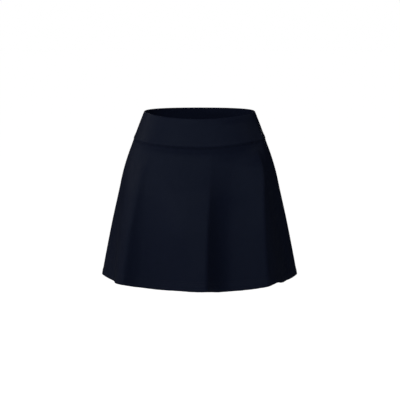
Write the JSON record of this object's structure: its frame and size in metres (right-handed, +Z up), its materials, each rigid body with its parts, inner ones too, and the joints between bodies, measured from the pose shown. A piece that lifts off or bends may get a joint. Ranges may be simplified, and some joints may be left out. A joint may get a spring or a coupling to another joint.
{
  "type": "golf skirt",
  "caption": "Flared golf skirt with a wide shaped waistband, in the hollow form it has when worn, open at the waist and the hem.",
  "frame": {"origin": "middle of the waist opening, level with the waist edge at the sides", "axes": "+Z up, the front faces -Y, +X to the right of someone who looks at the front"},
  "size_m": [0.4598, 0.3726, 0.3948],
  "materials": {
    "band_knit": "dark navy double knit, matte",
    "skirt_knit": "dark navy fine knit, matte"
  },
  "bodies": {
    "root": {"waistband_front": "band_knit", "waistband_back": "band_knit", "skirt_front": "skirt_knit", "skirt_back": "skirt_knit"}
  },
  "joints": []
}
